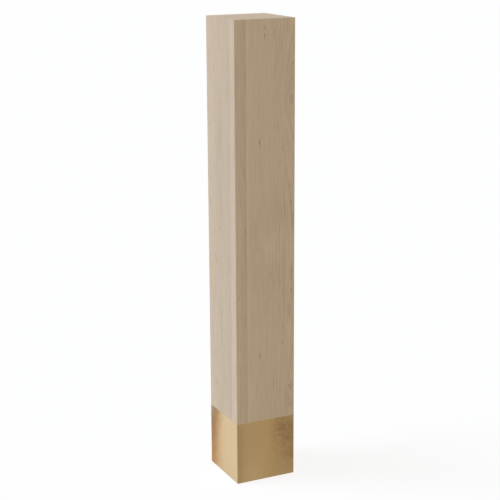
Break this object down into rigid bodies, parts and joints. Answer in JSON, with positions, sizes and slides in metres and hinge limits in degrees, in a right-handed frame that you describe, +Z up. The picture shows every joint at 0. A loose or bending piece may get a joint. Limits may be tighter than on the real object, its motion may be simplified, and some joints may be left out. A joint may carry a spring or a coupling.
{
  "type": "table leg",
  "caption": "Straight square table leg: a glued-up pale maple post whose rebated foot wears a flush square brass sleeve.",
  "frame": {"origin": "on the floor at the middle of the foot", "axes": "+Z up along the leg, -Y out of the front face that shows the narrow corner strip at its left edge"},
  "size_m": [0.1016, 0.1016, 0.7366],
  "materials": {
    "maple": "matte",
    "brass": "satin"
  },
  "bodies": {
    "root": {"main_block": "maple", "face_board": "maple", "corner_strip": "maple", "foot_sleeve": "brass"}
  },
  "joints": []
}
